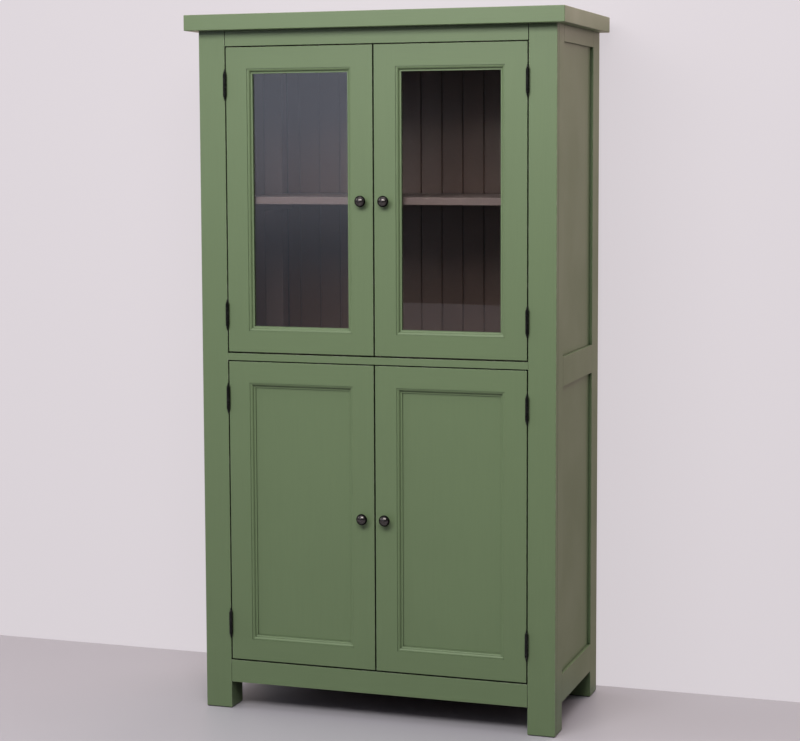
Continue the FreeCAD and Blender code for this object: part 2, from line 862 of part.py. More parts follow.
def make_door_rail(name, outer_z, flip, glazed):
    """A rail at its outer edge. Its moulding is on top, or underneath with flip."""
    rail = new_body(name)
    place(rail, (door_left + mm.stile_width, front, outer_z))
    length = door_width - mm.stile_width * 2
    section = new_sketch(rail, "rail_section", "YZ_Plane")
    outline(section, turned(frame_section(mm.door_rail_width, glazed), True, flip))
    pad(rail, section, length)
    ends = new_sketch(rail, "mitred_ends", "XZ_Plane")
    reach = moulding_width + mm.overrun
    for start, sense in ((as_size(0), 1), (length, -1)):
        corners = [
            (start, mm.door_rail_width),
            (start + reach * sense, mm.door_rail_width + reach),
            (start, mm.door_rail_width + reach),
        ]
        outline(ends, [(x, -z) if flip else (x, z) for x, z in corners])
    pocket_through(rail, ends, "mitres")
    tenon_height = mm.door_rail_width - mm.door_tenon_shoulder * 2
    tenon_z = -mm.door_tenon_shoulder - tenon_height if flip else mm.door_tenon_shoulder
    block(*door_tenon(rail, "rail_tenons", -mm.door_tenon_length, tenon_z,
                      length + mm.door_tenon_length * 2, tenon_height))
    return rail


def recess_for_hinge(stile, centre):
    """A recess for the leaf and pilot holes for its screws, in the outer edge of a stile."""
    cut(stile, "hinge_recess",
        (-mm.overrun, -mm.overrun, centre - mm.hinge_height / 2 - mm.hinge_leaf_play),
        (mm.overrun + mm.hinge_leaf_thickness, mm.overrun + mm.hinge_leaf_width + mm.hinge_leaf_play,
         mm.hinge_height + mm.hinge_leaf_play * 2))
    for height in hinge_screw_heights(centre):
        rod(stile, "pilot_hole", (mm.hinge_leaf_thickness, mm.hinge_screw_setback, height), "x",
            mm.screw_shank_radius + mm.screw_play, mm.screw_length)


def filling_board(name, door_base, door_height, depth, thickness, hold):
    """A panel or a pane that reaches into the frame by hold on every side."""
    filling = new_body(name)
    sight_x = mm.stile_width + moulding_width - hold
    sight_z = mm.door_rail_width + moulding_width - hold
    sketch = new_sketch(filling, "filling_outline", "XZ_Plane")
    rectangle(sketch, (sight_x, sight_z), (door_width - sight_x, door_height - sight_z))
    made = pad(filling, sketch, thickness)
    made.Reversed = True
    place(filling, (door_left, front + depth, door_base))
    return filling


def make_glazing_beads(name, door_base, door_height):
    """Four mitred beads behind a pane."""
    low = mm.stile_width + moulding_width - mm.rebate_width
    low_z = mm.door_rail_width + moulding_width - mm.rebate_width
    width = door_width - low * 2
    height = door_height - low_z * 2
    bead = mm.glazing_bead_width
    sides = {
        "hinge": [(0, 0), (bead, bead), (bead, height - bead), (0, height)],
        "lock": [(width, 0), (width, height), (width - bead, height - bead), (width - bead, bead)],
        "bottom": [(0, 0), (width, 0), (width - bead, bead), (bead, bead)],
        "top": [(0, height), (bead, height - bead), (width - bead, height - bead), (width, height)],
    }
    behind_glass = mm.glass_depth + mm.glass_thickness
    members = []
    for side, corners in sides.items():
        strip = new_body("%s_%s" % (name, side))
        sketch = new_sketch(strip, "bead_outline", "XZ_Plane")
        outline(sketch, corners)
        made = pad(strip, sketch, mm.door_thickness - behind_glass)
        made.Reversed = True
        place(strip, (door_left + low, front + behind_glass, door_base + low_z))
        members.append(strip)
    return group(name, members)


# Knobs

knob_x = -(mm.centre_gap + mm.stile_width) / 2


def make_knob():
    """A turned knob with a bore for its screw. X is the radius, -Y points out of the door."""
    knob = new_body("knob")
    sketch = new_sketch(knob, "knob_profile", "XY_Plane")
    bore = mm.knob_screw_radius + mm.screw_play
    rim_back = mm.knob_rim_height
    rim_front = mm.knob_rim_height + mm.knob_rim_width
    face = rim_front + mm.knob_face_step
    outline(sketch, [
        (0, -mm.knob_screw_depth - mm.screw_play),
        (0, -mm.knob_height),
        (mm.knob_face_radius, -face, mm.knob_dome_radius),
        (mm.knob_face_radius, -rim_front),
        (mm.knob_radius, -rim_back, mm.knob_rim_width),
        (mm.knob_neck_radius, -mm.knob_neck_height, -mm.knob_flare_radius),
        (mm.knob_foot_radius, -mm.knob_foot_height, -mm.knob_neck_height),
        (mm.knob_foot_radius, 0),
        (bore, 0),
        (bore, -mm.knob_screw_depth - mm.screw_play),
    ])
    revolve(knob, sketch)
    return knob


def make_knob_screw():
    screw = new_body("knob_screw")
    sketch = new_sketch(screw, "knob_screw_profile", "XY_Plane")
    head = mm.door_thickness + mm.knob_screw_head_height
    outline(sketch, [
        (0, -mm.knob_screw_depth),
        (mm.knob_screw_radius, -mm.knob_screw_depth),
        (mm.knob_screw_radius, mm.door_thickness),
        (mm.knob_screw_head_radius, mm.door_thickness),
        (mm.knob_screw_head_radius / 2, head, mm.knob_screw_head_radius),
        (0, head),
    ])
    revolve(screw, sketch)
    return screw


# Hinges: the left-hand frame leaf and door leaf, around a pin at the origin

knuckle_pitch = (mm.hinge_height + mm.hinge_knuckle_gap) / KNUCKLES


def make_leaf(name, side, own_knuckles):
    """A leaf on the frame side (-1) or the door side (1) of the gap."""
    leaf = new_body(name)
    foot = -mm.hinge_height / 2
    near = mm.door_gap / 2
    plate_x = near if side > 0 else -near - mm.hinge_leaf_thickness
    reach = front + mm.hinge_leaf_width - pin_y
    rod(leaf, "barrel", (0, 0, foot), "z", mm.hinge_barrel_radius, mm.hinge_height, "Additive")
    block(leaf, "plate", (plate_x, 0, foot), (mm.hinge_leaf_thickness, reach, mm.hinge_height))
    rod(leaf, "pin_bore", (0, 0, foot - mm.overrun), "z", mm.hinge_pin_radius,
        mm.hinge_height + mm.overrun * 2)
    clear = mm.hinge_barrel_radius + mm.hinge_running_gap
    for number in range(KNUCKLES):
        if number not in own_knuckles:
            rod(leaf, "knuckle_notch", (0, 0, foot + knuckle_pitch * number - mm.hinge_knuckle_gap), "z",
                clear, knuckle_pitch + mm.hinge_knuckle_gap)
    screw_y = front + mm.hinge_screw_setback - pin_y
    for height in hinge_screw_heights(as_size(0)):
        cone(leaf, "countersink", (near if side > 0 else -near, screw_y, height),
             "x" if side > 0 else "-x", mm.screw_head_radius + mm.screw_play,
             mm.screw_shank_radius + mm.screw_play, mm.hinge_leaf_thickness)
    return leaf


def make_pin():
    """A pin with a turned steeple tip at each end."""
    pin = new_body("hinge_pin")
    sketch = new_sketch(pin, "pin_profile", "XZ_Plane")
    shaft = mm.hinge_pin_radius - mm.hinge_pin_play
    half = mm.hinge_height / 2
    collar_base = half + mm.hinge_knuckle_gap
    collar_top = collar_base + mm.tip_collar_height
    neck_top = collar_top + mm.tip_neck_height
    bulb_top = neck_top + mm.tip_bulb_height
    tip_top = half + mm.tip_height
    upper = [
        (shaft, collar_base),
        (mm.hinge_barrel_radius, collar_base),
        (mm.hinge_barrel_radius, collar_top),
        (mm.tip_neck_radius, neck_top),
        (mm.tip_bulb_radius, neck_top + mm.tip_bulb_height / 2),
        (mm.tip_neck_radius, bulb_top),
        (mm.tip_point_radius, tip_top),
        (0, tip_top),
    ]
    lower = [(radius, -as_size(height)) for radius, height in reversed(upper)]
    outline(sketch, lower + upper)
    revolve(pin, sketch)
    return pin


def make_wood_screw(name, along):
    """A countersunk screw with its head's face at X = 0, pointing along x or -x."""
    screw = new_body(name)
    sense = 1 if along == "x" else -1
    sketch = new_sketch(screw, "screw_profile", "XZ_Plane")
    shank_end = mm.screw_length - mm.screw_tip_height
    outline(sketch, [(length * sense, radius) for length, radius in (
        (as_size(0), as_size(0)),
        (as_size(0), mm.screw_head_radius),
        (mm.hinge_leaf_thickness, mm.screw_shank_radius),
        (shank_end, mm.screw_shank_radius),
        (mm.screw_length, as_size(0)),
    )])
    revolve(screw, sketch, "H_Axis")
    return screw


def hinge_half(prefix, leaf, screw, screw_x, centres, pin=None):
    """Copies of a leaf with its screws, and of the pin on the frame side, at each height."""
    members = []
    for centre in centres:
        members.append(copy_of(leaf, prefix + "_leaf", (pin_x, pin_y, centre)))
        if pin:
            members.append(copy_of(pin, prefix + "_pin", (pin_x, pin_y, centre)))
        for height in hinge_screw_heights(centre):
            members.append(copy_of(screw, prefix + "_screw",
                                   (screw_x, front + mm.hinge_screw_setback, height)))
    return members


# Magnetic catches on the deck, and their strike plates on the doors

def make_catch(name, sense):
    """A catch housing at its front face, standing on the deck (1) or hanging under it (-1)."""
    housing = new_body(name + "_housing")
    base = as_size(0) if sense > 0 else -mm.catch_height
    block(housing, "housing_blank", (-mm.catch_length / 2, 0, base),
          (mm.catch_length, mm.catch_depth, mm.catch_height))
    ease(housing, "Fillet", mm.catch_edge_radius, upright, "housing_arrises")
    poles = []
    for side in (-1, 1):
        middle = base + (mm.catch_height + mm.pole_spacing * side) / 2
        corner = (-mm.pole_length / 2, -mm.pole_stand, middle - mm.pole_thickness / 2)
        extent = (mm.pole_length, mm.pole_depth, mm.pole_thickness)
        cut(housing, "pole_slot", corner, extent)
        pole = new_body(name + "_pole")
        block(pole, "pole_blank", corner, extent)
        poles.append(pole)
    return [housing] + poles


def strike_base(position):
    """The foot of a strike plate, at the edge of its door that is next to the deck."""
    door_base, door_top = DOORS[position]
    if position == "upper":
        return door_base + mm.strike_setback
    return door_top - mm.strike_setback - mm.strike_height


def make_catches():
    members = []
    strike_face = front + mm.door_thickness + mm.strike_thickness
    for position, sense, height in (("upper", 1, deck_top), ("lower", -1, mm.deck_height)):
        corner = (knob_x, strike_face + mm.catch_air_gap + mm.pole_stand, height)
        for piece in make_catch(position + "_catch", sense):
            members.append(copy_of(piece, piece.Label + "_at_left", corner))
    left = group("left_catches", members)
    return group("magnetic_catches", [left, mirrored(left, "right_catches")])


def make_strike(name, position):
    strike = new_body(name)
    block(strike, "strike_blank",
          (knob_x - mm.strike_length / 2, front + mm.door_thickness, strike_base(position)),
          (mm.strike_length, mm.strike_thickness, mm.strike_height))
    ease(strike, "Fillet", mm.strike_edge_radius,
         lambda edge: abs(edge.BoundBox.YMin - edge.BoundBox.YMax) > NEAR, "strike_corners")
    return strike


# One left door, and its mirror image

def make_door(position, hardware):
    door_base, door_top = DOORS[position]
    door_height = door_top - door_base
    glazed = position == "upper"
    prefix = position + "_left_"
    hinge_stile = make_stile(prefix + "hinge_stile", door_base, door_height, door_left, False, glazed)
    for centre in (mm.hinge_inset, door_height - mm.hinge_inset):
        recess_for_hinge(hinge_stile, centre)
    lock_stile = make_stile(prefix + "lock_stile", door_base, door_height, door_left + door_width,
                            True, glazed)
    rod(lock_stile, "knob_hole", (-mm.stile_width / 2, -mm.overrun, door_height / 2), "y",
        mm.knob_screw_radius + mm.screw_play, mm.door_thickness + mm.overrun * 2)
    keep_both_sides(hinge_stile)
    keep_both_sides(lock_stile)
    keep_both_sides(make_door_rail(prefix + "top_rail", door_top, True, glazed))
    keep_both_sides(make_door_rail(prefix + "bottom_rail", door_base, False, glazed))
    if glazed:
        keep_both_sides(filling_board(prefix + "glass", door_base, door_height, mm.glass_depth,
                                      mm.glass_thickness, mm.rebate_width - mm.glass_play))
        keep_both_sides(make_glazing_beads(prefix + "glazing_beads", door_base, door_height))
    else:
        keep_both_sides(filling_board(prefix + "panel", door_base, door_height, mm.panel_depth,
                                      mm.door_panel_thickness, mm.housing_depth - mm.housing_play))
    knob_place = (knob_x, front, door_base + door_height / 2)
    keep_both_sides(group(prefix + "knob", [
        copy_of(hardware["knob"], prefix + "knob_head", knob_place),
        copy_of(hardware["knob_screw"], prefix + "knob_screw", knob_place),
    ]))
    keep_both_sides(make_strike(prefix + "strike_plate", position))
    centres = (door_top - mm.hinge_inset, door_base + mm.hinge_inset)
    keep_both_sides(group(prefix + "hinges", hinge_half(
        prefix + "hinge", hardware["door_leaf"], hardware["door_screw"], door_left, centres)))


def make_frame_hinges(hardware):
    left = group("left_frame_hinges", hinge_half(
        "frame_hinge", hardware["frame_leaf"], hardware["frame_screw"], -post_inside, hinge_centres,
        hardware["pin"]))
    return group("frame_hinges", [left, mirrored(left, "right_frame_hinges")])


def make_cabinet():
    keep(make_top_slab())
    keep_both_sides(make_front_post())
    keep_both_sides(make_back_post())
    keep(cross_rail("front_top_rail", top_rail_base, mm.top_rail_height, front, mm.rail_thickness,
                    mm.top_rail_seam))
    keep(make_front_bottom_rail())
    keep(make_deck())
    keep(make_floor())
    make_sides()
    keep(make_back_rails())
    keep(make_back_boards())
    keep(make_shelf("upper_shelf", upper_shelf_top))
    keep(make_shelf("lower_shelf", lower_shelf_top))
    keep(make_cleats())
    frame_knuckles = range(0, KNUCKLES, 2)
    door_knuckles = range(1, KNUCKLES, 2)
    hardware = {
        "knob": make_knob(),
        "knob_screw": make_knob_screw(),
        "frame_leaf": make_leaf("frame_leaf", -1, frame_knuckles),
        "door_leaf": make_leaf("door_leaf", 1, door_knuckles),
        "pin": make_pin(),
        "frame_screw": make_wood_screw("frame_screw", "-x"),
        "door_screw": make_wood_screw("door_screw", "x"),
    }
    keep(make_frame_hinges(hardware))
    keep(make_catches())
    for position in DOORS:
        make_door(position, hardware)


def check_document():
    """Stops the build if any object failed or any sub-part is empty or broken."""
    for item in doc.Objects:
        if "Invalid" in item.State or "Error" in item.State:
            raise RuntimeError("failed object: %s %s" % (item.Label, item.State))
    for node in nodes:
        if node.Shape.isNull() or not node.Shape.isValid():
            raise RuntimeError("bad shape: " + node.Label)


make_cabinet()
doc.recompute()
check_document()
os.makedirs("parts", exist_ok=True)
for node in nodes:
    node.Shape.exportStep(os.path.join("parts", node.Label + ".step"))
    print("%-32s solids %3d volume %12.1f" % (node.Label, len(node.Shape.Solids), node.Shape.Volume))
print("nodes", len(nodes))
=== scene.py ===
"""Looks of the painted kitchen cabinet: finishes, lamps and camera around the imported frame."""

import json
import math

import bpy
from mathutils import Matrix, Vector

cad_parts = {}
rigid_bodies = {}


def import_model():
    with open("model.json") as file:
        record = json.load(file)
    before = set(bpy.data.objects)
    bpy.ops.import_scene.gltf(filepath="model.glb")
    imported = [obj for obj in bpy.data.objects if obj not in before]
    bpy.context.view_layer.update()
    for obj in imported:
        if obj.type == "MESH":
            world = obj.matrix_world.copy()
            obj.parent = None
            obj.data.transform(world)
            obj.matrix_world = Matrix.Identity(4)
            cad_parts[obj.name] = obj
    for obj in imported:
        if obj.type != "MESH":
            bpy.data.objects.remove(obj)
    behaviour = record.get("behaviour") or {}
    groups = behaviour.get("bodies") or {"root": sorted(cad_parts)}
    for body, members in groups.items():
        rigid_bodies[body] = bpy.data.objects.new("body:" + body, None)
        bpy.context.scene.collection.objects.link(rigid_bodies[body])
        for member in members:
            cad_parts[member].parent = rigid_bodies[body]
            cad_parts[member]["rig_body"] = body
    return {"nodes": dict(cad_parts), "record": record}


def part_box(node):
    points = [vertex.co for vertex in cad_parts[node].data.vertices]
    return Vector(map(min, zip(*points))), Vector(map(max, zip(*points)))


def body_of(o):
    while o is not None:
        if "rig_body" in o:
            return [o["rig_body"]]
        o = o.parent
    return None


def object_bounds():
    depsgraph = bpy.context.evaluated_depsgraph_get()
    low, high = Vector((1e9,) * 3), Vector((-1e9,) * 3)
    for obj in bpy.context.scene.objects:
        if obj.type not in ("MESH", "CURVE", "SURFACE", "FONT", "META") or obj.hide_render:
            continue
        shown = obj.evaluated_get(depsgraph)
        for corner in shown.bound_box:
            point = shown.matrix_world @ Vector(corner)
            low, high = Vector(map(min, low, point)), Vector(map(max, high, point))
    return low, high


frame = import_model()
nodes = frame["nodes"]
cad_low, cad_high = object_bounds()


# Camera, fitted to the cabinet's edges in the photograph (metres, degrees, pixels, a sensor in mm)

PICTURE_WIDTH = 800
PICTURE_HEIGHT = 741
CAMERA_PLACE = (1.722, -5.145, 1.542)
CAMERA_YAW = 18.53
CAMERA_PITCH = -5.26
CAMERA_ROLL = -0.22
LEVEL_TILT = 90
FOCAL_PIXELS = 1973
LENS_AXIS_ROW = 330
SENSOR_WIDTH = 36.0


def turn(degrees, axis):
    return Matrix.Rotation(math.radians(degrees), 4, axis)


def make_camera():
    data = bpy.data.cameras.new("camera")
    data.sensor_width = SENSOR_WIDTH
    data.lens = FOCAL_PIXELS / PICTURE_WIDTH * SENSOR_WIDTH
    data.shift_y = (LENS_AXIS_ROW - PICTURE_HEIGHT / 2) / PICTURE_WIDTH
    camera = bpy.data.objects.new("camera", data)
    look = turn(CAMERA_YAW, "Z") @ turn(LEVEL_TILT + CAMERA_PITCH, "X") @ turn(CAMERA_ROLL, "Z")
    camera.matrix_world = Matrix.Translation(CAMERA_PLACE) @ look
    bpy.context.scene.collection.objects.link(camera)
    bpy.context.scene.camera = camera


# Short ways to build a shader

class Finish:
    """A new material, or the tree it is given, with short calls that add shader nodes and join them."""

    def __init__(self, name, tree=None):
        if tree is None:
            self.material = bpy.data.materials.new(name)
            self.material.use_nodes = True
            tree = self.material.node_tree
            tree.nodes.clear()
        self.tree = tree

    def node(self, kind, inputs=(), **settings):
        made = self.tree.nodes.new("ShaderNode" + kind)
        for key, value in settings.items():
            setattr(made, key, value)
        for key, value in dict(inputs).items():
            self.feed(made.inputs[key], value)
        return made

    def feed(self, socket, value):
        if isinstance(value, bpy.types.NodeSocket):
            self.tree.links.new(value, socket)
        else:
            socket.default_value = value

    def place(self):
        return self.node("TexCoord").outputs["Object"]

    def axes(self, place):
        return self.node("SeparateXYZ", {"Vector": place}).outputs

    def math(self, operation, *values):
        made = self.node("Math", operation=operation)
        for socket, value in zip(made.inputs, values):
            self.feed(socket, value)
        return made.outputs[0]

    def product(self, *values):
        total = values[0]
        for value in values[1:]:
            total = self.math("MULTIPLY", total, value)
        return total

    def spread(self, value, low, high, to_low=0.0, to_high=1.0):
        """A value from low to high, made to run smoothly from to_low to to_high."""
        made = self.node("MapRange", interpolation_type="SMOOTHSTEP")
        for socket, number in zip(made.inputs, (value, low, high, to_low, to_high)):
            self.feed(socket, number)
        return made.outputs[0]

    def noise(self, place, scale, detail, roughness=0.5):
        made = self.node("TexNoise", {"Vector": place, "Scale": scale, "Detail": detail,
                                      "Roughness": roughness})
        return made.outputs["Fac"]

    def stretched(self, place, scales):
        return self.node("Mapping", {"Vector": place, "Scale": scales}).outputs[0]

    def mix(self, share, first, second, blend="MIX"):
        """Two colours mixed."""
        made = self.node("Mix", data_type="RGBA", blend_type=blend)
        for key, value in (("Factor_Float", share), ("A_Color", first), ("B_Color", second)):
            socket = next(s for s in made.inputs if s.identifier == key)
            self.feed(socket, value)
        return next(s for s in made.outputs if s.identifier == "Result_Color")

    def blend(self, share, first, second):
        """Two shaders mixed."""
        made = self.node("MixShader")
        for socket, value in zip(made.inputs, (share, first, second)):
            self.feed(socket, value)
        return made.outputs[0]

    def bump(self, height, distance, strength, under=None):
        made = self.node("Bump", {"Strength": strength, "Distance": distance, "Height": height})
        if under is not None:
            self.feed(made.inputs["Normal"], under)
        return made.outputs[0]

    def end(self, shader):
        output = self.node("OutputMaterial")
        self.feed(output.inputs["Surface"], shader)
        return self.material


# In what follows a noise is its scale, detail and roughness, a spread is two limits and what it
# gives at each (0 and 1 if it says nothing), and a relief is a bump's height in metres and strength

# Painted wood

GREEN = (0.172, 0.240, 0.120, 1.0)
TAUPE = (0.165, 0.110, 0.103, 1.0)
# The back boards' darker taupe is painted shade for the dim back of the cabinet, on their outer face
# too
SHADED_TAUPE = (0.088, 0.047, 0.037, 1.0)
PAINT_IOR = 1.48
PAINT_ROUGH_SPREAD = (0.2, 0.8, 0.40, 0.48)
# Brushed grain, with streaks where the paint lies thinner on it
GRAIN_ACROSS = 300.0
GRAIN_ALONG = 9.0
GRAIN_NOISE = (1.0, 5.0, 0.62)
GRAIN_RELIEF = (0.00025, 0.35)
STREAK_SPREAD = (0.35, 0.75, 0.0, 0.16)
STREAK_TINT = (0.78, 0.78, 0.78, 1.0)
# Orange peel
PEEL_NOISE = (1300.0, 1.0)
PEEL_RELIEF = (0.00008, 0.30)
# Broad faint clouds
CLOUD_NOISE = (4.5, 3.0)
CLOUD_SPREAD = (0.3, 0.7, 0.0, 0.10)
CLOUD_TINT = (0.72, 0.72, 0.72, 1.0)
# Edges a little paler, partly where hands and cloths have rubbed them and partly as a painted highlight
# along the arrises
WORN_AND_HIGHLIT_EDGE = 0.0022
WORN_AND_HIGHLIT_NOISE = (55.0, 4.0, 0.7)
WORN_AND_HIGHLIT_SPREAD = (0.46, 0.68)
WORN_AND_HIGHLIT_SHARE = 0.30
WORN_AND_HIGHLIT_COLOUR = (0.50, 0.52, 0.44, 1.0)
WORN_ROUGHNESS = 0.12
# Gaps and quirks, darkened by painted shade where ambient occlusion finds them closed in
GAP_REACH = 0.012
GAP_SAMPLES = 4
GAP_SHADE_SPREAD = (0.25, 0.66, 0.95, 0.0)
GAP_SHADE_COLOUR = (0.004, 0.005, 0.003, 1.0)
# The inside: between the side panels, from the doors to the boards' rear face, and from the floor
# board's top to the slab, with each limit moved past its face by a margin
FACE_MARGIN = 0.0001
PANEL_MARGIN = 0.0005
FLOOR_MARGIN = 0.0018
INSIDE_HALF_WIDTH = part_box("right_side_upper_panel")[0].x + PANEL_MARGIN
INSIDE_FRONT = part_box("upper_left_hinge_stile")[1].y + FACE_MARGIN
INSIDE_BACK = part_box("back_boards")[1].y - FACE_MARGIN
INSIDE_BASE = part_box("floor_board")[1].z - FLOOR_MARGIN
INSIDE_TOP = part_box("top_slab")[0].z + PANEL_MARGIN


def grain_scales(along):
    return tuple(GRAIN_ALONG if axis == along else GRAIN_ACROSS for axis in "xyz")


def inside_mask(finish, x, y, z):
    """1 inside the cabinet, 0 on its outer faces."""
    return finish.product(
        finish.math("LESS_THAN", finish.math("ABSOLUTE", x), INSIDE_HALF_WIDTH),
        finish.math("GREATER_THAN", y, INSIDE_FRONT),
        finish.math("LESS_THAN", y, INSIDE_BACK),
        finish.math("GREATER_THAN", z, INSIDE_BASE),
        finish.math("LESS_THAN", z, INSIDE_TOP),
    )


def edge_mask(finish, axes, low, high):
    """1 on the edges of the piece's box: where two of the three distances to its sides are small."""
    to_side = []
    for value, near, far in zip(axes, low, high):
        to_side.append(finish.math("MINIMUM", finish.math("SUBTRACT", value, near),
                                   finish.math("SUBTRACT", far, value)))
    first, second, third = to_side
    middle = finish.math(
        "MAXIMUM", finish.math("MINIMUM", first, second),
        finish.math("MINIMUM", finish.math("MAXIMUM", first, second), third))
    return finish.spread(middle, 0.0, WORN_AND_HIGHLIT_EDGE, 1.0, 0.0)


def painted(name, along, outer, inner=None):
    """Satin paint over wood whose grain runs along an axis; inner is the colour inside the cabinet."""
    finish = Finish("paint_" + name)
    place = finish.place()
    axes = finish.axes(place)
    low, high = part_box(name)
    grain = finish.noise(finish.stretched(place, grain_scales(along)), *GRAIN_NOISE)
    peel = finish.noise(place, *PEEL_NOISE)
    clouds = finish.noise(place, *CLOUD_NOISE)
    worn_and_highlit = finish.product(edge_mask(finish, axes, low, high),
                          finish.spread(finish.noise(place, *WORN_AND_HIGHLIT_NOISE), *WORN_AND_HIGHLIT_SPREAD))
    openness = finish.node("AmbientOcclusion", {"Distance": GAP_REACH}, samples=GAP_SAMPLES)
    colour = outer
    if inner is not None:
        colour = finish.mix(inside_mask(finish, *axes), outer, inner)
    colour = finish.mix(finish.spread(grain, *STREAK_SPREAD), colour, STREAK_TINT, "MULTIPLY")
    colour = finish.mix(finish.spread(clouds, *CLOUD_SPREAD), colour, CLOUD_TINT, "MULTIPLY")
    # Painted shade in the gaps and quirks, from ambient occlusion
    colour = finish.mix(finish.spread(openness.outputs["AO"], *GAP_SHADE_SPREAD), colour, GAP_SHADE_COLOUR)
    # Paler edges: partly wear, partly a painted highlight along the arrises
    colour = finish.mix(finish.math("MULTIPLY", worn_and_highlit, WORN_AND_HIGHLIT_SHARE), colour, WORN_AND_HIGHLIT_COLOUR)
    roughness = finish.math("ADD", finish.spread(clouds, *PAINT_ROUGH_SPREAD),
                            finish.math("MULTIPLY", worn_and_highlit, WORN_ROUGHNESS))
    normal = finish.bump(peel, *PEEL_RELIEF, under=finish.bump(grain, *GRAIN_RELIEF))
    shader = finish.node("BsdfPrincipled", {"Base Color": colour, "Roughness": roughness,
                                            "Normal": normal, "IOR": PAINT_IOR})
    return finish.end(shader.outputs[0])


# Glass, with smears and a faint ripple; light passes it straight on its way to what is behind

GLASS_TINT = (0.985, 0.992, 0.988, 1.0)
GLASS_LOSS = (0.92, 0.94, 0.93, 1.0)
GLASS_IOR = 1.5
SMEAR_STRETCH = (6.0, 6.0, 2.5)
SMEAR_NOISE = (1.0, 4.0)
SMEAR_SPREAD = (0.45, 0.75)
SMEAR_ROUGHNESS = 0.02
RIPPLE_NOISE = (3.0, 1.0)
RIPPLE_RELIEF = (0.0006, 0.15)


def clear_glass(name):
    finish = Finish("glass_" + name)
    place = finish.place()
    smear = finish.spread(finish.noise(finish.stretched(place, SMEAR_STRETCH), *SMEAR_NOISE),
                          *SMEAR_SPREAD)
    ripple = finish.bump(finish.noise(place, *RIPPLE_NOISE), *RIPPLE_RELIEF)
    glass = finish.node("BsdfPrincipled", {
        "Base Color": GLASS_TINT, "Transmission Weight": 1.0, "IOR": GLASS_IOR,
        "Roughness": finish.math("MULTIPLY", smear, SMEAR_ROUGHNESS), "Normal": ripple})
    clear = finish.node("BsdfTransparent", {"Color": GLASS_LOSS})
    path = finish.node("LightPath").outputs
    passes = finish.math("MAXIMUM", path["Is Shadow Ray"], path["Is Diffuse Ray"])
    return finish.end(finish.blend(passes, glass.outputs[0], clear.outputs[0]))


# Knobs: the dome's edge in shares of the radius, and its depth in metres from the front

BRONZE = (0.108, 0.097, 0.094, 1.0)
RIM_REFLECTION_AND_PATINA = (0.004, 0.004, 0.004, 1.0)
DOME_EDGE = (0.70, 0.86)
DOME_DEPTH = (0.0065, 0.0085)
SPOT_NOISE = (420.0, 4.0, 0.65)
SPOT_SPREAD = (0.25, 0.7, 0.55, 1.0)
BRONZE_ROUGH_SPREAD = (0.0, 1.0, 0.40, 0.24)
BRONZE_RELIEF = (0.0002, 0.25)


def dark_bronze(name):
    """Rubbed bronze: paler on the dome, nearly black on the rim (a painted dark reflection) and in the
    hollow behind it (patina).
    """
    finish = Finish("bronze_" + name)
    place = finish.place()
    axes = finish.axes(place)
    low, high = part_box(name)
    middle = (low + high) / 2
    across = finish.math("SUBTRACT", axes[0], middle.x)
    along = finish.math("SUBTRACT", axes[2], middle.z)
    radius = finish.math("SQRT", finish.math("ADD", finish.product(across, across),
                                             finish.product(along, along)))
    rim = (high.x - low.x) / 2
    dome = finish.spread(radius, *(rim * share for share in DOME_EDGE), 1.0, 0.0)
    front = finish.spread(axes[1], *(low.y + depth for depth in DOME_DEPTH), 1.0, 0.0)
    spots = finish.noise(place, *SPOT_NOISE)
    rubbed = finish.product(dome, front, finish.spread(spots, *SPOT_SPREAD))
    shader = finish.node("BsdfPrincipled", {
        # Nearly black on the rim as a painted dark reflection, and in the hollow behind as patina
        "Base Color": finish.mix(rubbed, RIM_REFLECTION_AND_PATINA, BRONZE), "Metallic": 1.0,
        "Roughness": finish.spread(rubbed, *BRONZE_ROUGH_SPREAD),
        "Normal": finish.bump(spots, *BRONZE_RELIEF)})
    return finish.end(shader.outputs[0])


# Hinges

IRON = (0.004, 0.004, 0.004, 1.0)
RUBBED_IRON = (0.030, 0.029, 0.028, 1.0)
IRON_IOR = 1.3
LUMP_NOISE = (260.0, 4.0, 0.6)
IRON_RUB_NOISE = (90.0, 3.0, 0.7)
IRON_RUB_SPREAD = (0.5, 0.72)
IRON_ROUGH_SPREAD = (0.2, 0.8, 0.22, 0.36)
IRON_RELIEF = (0.0003, 0.3)


def black_iron(name):
    finish = Finish("iron_" + name)
    place = finish.place()
    lumps = finish.noise(place, *LUMP_NOISE)
    rubs = finish.spread(finish.noise(place, *IRON_RUB_NOISE), *IRON_RUB_SPREAD)
    shader = finish.node("BsdfPrincipled", {
        "Base Color": finish.mix(rubs, IRON, RUBBED_IRON), "IOR": IRON_IOR,
        "Roughness": finish.spread(lumps, *IRON_ROUGH_SPREAD),
        "Normal": finish.bump(lumps, *IRON_RELIEF)})
    return finish.end(shader.outputs[0])


# Catches and their strike plates

PLASTIC = (0.055, 0.038, 0.028, 1.0)
PALE_PLASTIC = (0.085, 0.060, 0.045, 1.0)
SPECKLE_NOISE = (1500.0, 2.0)
PLASTIC_ROUGH_SPREAD = (0.2, 0.8, 0.45, 0.6)
PLASTIC_RELIEF = (0.0001, 0.4)
STEEL = (0.42, 0.41, 0.38, 1.0)
BRIGHT_STEEL = (0.60, 0.59, 0.56, 1.0)
BRUSH_STRETCH = (60.0, 900.0, 900.0)
BRUSH_NOISE = (1.0, 3.0)
STEEL_ROUGH_SPREAD = (0.2, 0.8, 0.25, 0.42)
STEEL_RELIEF = (0.00005, 0.4)


